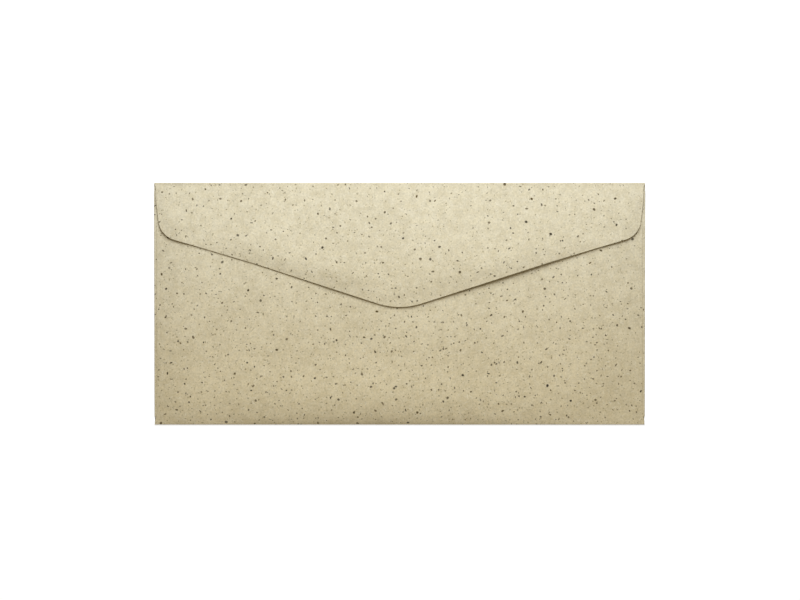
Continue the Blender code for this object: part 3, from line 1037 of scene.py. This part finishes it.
def make_top_crease(paper):
    """The crease that the seal flap turns on: one strip, which bends from the pocket to the flap."""
    line = flap_plan()[-1]
    middle, normal, share = crease(line, front_height, flap_height, (0, 1), TOP_REACH)
    place = place_at(line[:, 0], FRONT_PLACE * (1 - share))
    obj = sheet_object("top_crease", middle, normal, place, paper, fold=fold_wear(share))
    settled_in(obj, "recycled_paper", None, "top_fold", "flap_fold")
    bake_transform(obj)


def round_end(from_end, radius):
    """How wide a band is, from 0 to 1, this far from its end: as half a circle, never quite nothing."""
    left = np.clip(1 - from_end / radius, 0, 1)
    return np.sqrt(1 - left**2) * (1 - END_SHARE) + END_SHARE


def gum_plan():
    """The gum's grid in plan: the flap's edge moved inwards, from the margin to the full width.

    Near both ends the band narrows as half a circle does, and its edges waver as a roller leaves them.
    """
    half = flap_edge()[CORNER_START + ARC_STEPS :]
    edge = evenly(np.concatenate([half, mirrored(half[:-1][::-1])]), 4 * COLUMNS)
    edge = edge[np.abs(edge[:, 0]) < GUM_END_X]
    edge = evenly(edge, COLUMNS)
    along = unit(np.gradient(edge, axis=0))
    inwards = np.stack([-along[:, 1], along[:, 0]], -1)
    from_end = GUM_END_X - np.abs(edge[:, 0])
    across = np.linspace(-1, 1, round(GUM_WIDTH / GRID_STEP) + 1)[:, None]
    waver = waves(edge[:, 0] + across * WAVER_APART_X, across * WAVER_APART_Y, *GUM_WAVES)
    waver = EDGE_WAVER * waver * np.abs(across)
    width = round_end(from_end, GUM_END_RADIUS)
    depth = GUM_EDGE_MARGIN + GUM_WIDTH / 2 * (1 + across * width) + waver
    return edge[None] + inwards[None] * depth[..., None], across * np.ones_like(from_end)


def make_gum(gum):
    """A thin layer on the flap's inner face, which thins by the sixth power of the way to its edges."""
    plan, across = gum_plan()
    half = GUM_THICKNESS / 2 * (1 - across**6 * GUM_THINNING)
    surface, normal = points_at(plan, flap_height), upward(plan, flap_height)
    middle = surface - normal * (PAPER / 2 + half[..., None] * GUM_STAND_OFF)
    place = place_at(plan[..., 0], plan[..., 1] - TOP_BEND_Y)
    obj = sheet_object("gum_band", middle, normal, place, gum, half=half)
    settled_in(obj, "dried_gum", "flap", "seal_gum")


def make_seam_glue(side, sign, glue):
    """A strip of glue with round ends, between a side flap and the back panel, thinning as the gum."""
    centre_x = (GLUE_LOWEST.x + GLUE_HIGHEST.x) / 2
    radius = (GLUE_HIGHEST.x - GLUE_LOWEST.x) / 2
    rows = round((GLUE_HIGHEST.y - GLUE_LOWEST.y) / GRID_STEP) + 1
    y = np.linspace(GLUE_LOWEST.y, GLUE_HIGHEST.y, rows)
    width = round_end(np.minimum(y - y[0], y[-1] - y), radius)
    across = np.linspace(-1, 1, GLUE_COLUMNS)[:, None]
    waver = EDGE_WAVER * waves(y, across * WAVER_APART_Y, *GLUE_WAVES) * np.abs(across)
    x = sign * (centre_x + across * radius * width + waver)
    plan = np.stack([x, np.broadcast_to(y, x.shape)], -1)
    half = GLUE_THICKNESS / 2 * (1 - across**6 * GLUE_THINNING) * np.ones_like(x)
    middle = points_at(plan, back_height) - upward(plan, back_height) * SEAM_STEP / 2
    obj = sheet_object(f"{side}_glue_strip", middle, upward(plan, back_height), plan, glue, half=half)
    settled_in(obj, "seam_glue", "pocket", f"{side}_seam_glue")


def white_for_the_eye(tree):
    """1 for rays from the camera and for reflections, which see the studio as white."""
    path = tree.nodes.new("ShaderNodeLightPath")
    either = tree.nodes.new("ShaderNodeMath")
    either.operation = "MAXIMUM"
    tree.links.new(path.outputs["Is Camera Ray"], either.inputs[0])
    tree.links.new(path.outputs["Is Glossy Ray"], either.inputs[1])
    return either.outputs[0]


def make_floor():
    """A plain pale floor, which glows a little to the eye and keeps the envelope's shadow."""
    half = FLOOR_SIZE / 2
    corners = [(-half, -half), (half, -half), (half, half), (-half, half)]
    mesh = bpy.data.meshes.new("floor")
    mesh.from_pydata([(x, y, -FLOOR_DEPTH) for x, y in corners], [], [(0, 1, 2, 3)])
    material = bpy.data.materials.new("floor")
    material.use_nodes = True
    tree = material.node_tree
    shader = tree.nodes["Principled BSDF"]
    shader.inputs["Base Color"].default_value = (FLOOR_COLOUR, FLOOR_COLOUR, FLOOR_COLOUR, 1)
    shader.inputs["Roughness"].default_value = 1.0
    shader.inputs["Specular IOR Level"].default_value = 0.0
    shader.inputs["Emission Color"].default_value = (1, 1, 1, 1)
    glow = tree.nodes.new("ShaderNodeMath")
    glow.operation = "MULTIPLY"
    glow.inputs[1].default_value = FLOOR_GLOW
    tree.links.new(white_for_the_eye(tree), glow.inputs[0])
    tree.links.new(glow.outputs[0], shader.inputs["Emission Strength"])
    mesh.materials.append(material)
    floor = bpy.data.objects.new("floor", mesh)
    bpy.context.scene.collection.objects.link(floor)


def make_sky():
    """Soft light from all round, and white to the eye."""
    world = bpy.data.worlds.new("studio")
    bpy.context.scene.world = world
    world.use_nodes = True
    tree = world.node_tree
    background = tree.nodes["Background"]
    light = tree.nodes.new("ShaderNodeMix")
    light.data_type = "RGBA"
    light.inputs[6].default_value = (*(SKY_STRENGTH * value for value in SKY_COLOUR), 1)
    light.inputs[7].default_value = (1, 1, 1, 1)
    tree.links.new(white_for_the_eye(tree), light.inputs[0])
    tree.links.new(light.outputs[2], background.inputs["Color"])


def make_lamp():
    """One near, soft lamp over the top edge, so that the light falls off down the envelope."""
    light = bpy.data.lights.new("soft_lamp", "AREA")
    light.shape = "DISK"
    light.size = LAMP_SIZE
    light.energy = LAMP_POWER
    light.color = LAMP_COLOUR
    lamp = bpy.data.objects.new("soft_lamp", light)
    lamp.location = LAMP_PLACE
    lamp.rotation_euler = (LAMP_AIM - LAMP_PLACE).to_track_quat("-Z", "Y").to_euler()
    lamp.visible_camera = False
    bpy.context.scene.collection.objects.link(lamp)


def make_camera():
    """A long lens, nearly overhead, tilted towards the top edge's side."""
    data = bpy.data.cameras.new("camera")
    data.sensor_width = SENSOR_WIDTH
    data.lens = SENSOR_WIDTH * CAMERA_DISTANCE / PICTURE_WIDTH
    data.clip_start = NEAREST_SEEN
    data.clip_end = FARTHEST_SEEN
    camera = bpy.data.objects.new("camera", data)
    away = Vector((0, math.sin(CAMERA_TILT), math.cos(CAMERA_TILT)))
    camera.location = PICTURE_MIDDLE + away * CAMERA_DISTANCE
    camera.rotation_euler = (-CAMERA_TILT, 0, 0)
    bpy.context.scene.collection.objects.link(camera)
    bpy.context.scene.camera = camera


def main():
    """Builds the pieces, then the studio round them."""
    bpy.context.scene.view_settings.view_transform = "Standard"
    paper, gum, glue = paper_finish(), gum_finish(), glue_finish()
    make_front(paper)
    make_back(paper)
    make_flap(paper)
    make_bottom_crease(paper)
    make_top_crease(paper)
    for side, sign in (("left", -1), ("right", 1)):
        make_side_flap(side, sign, paper)
        make_side_crease(side, sign, paper)
        make_seam_glue(side, sign, glue)
    make_gum(gum)
    make_floor()
    make_sky()
    make_lamp()
    make_camera()


main()
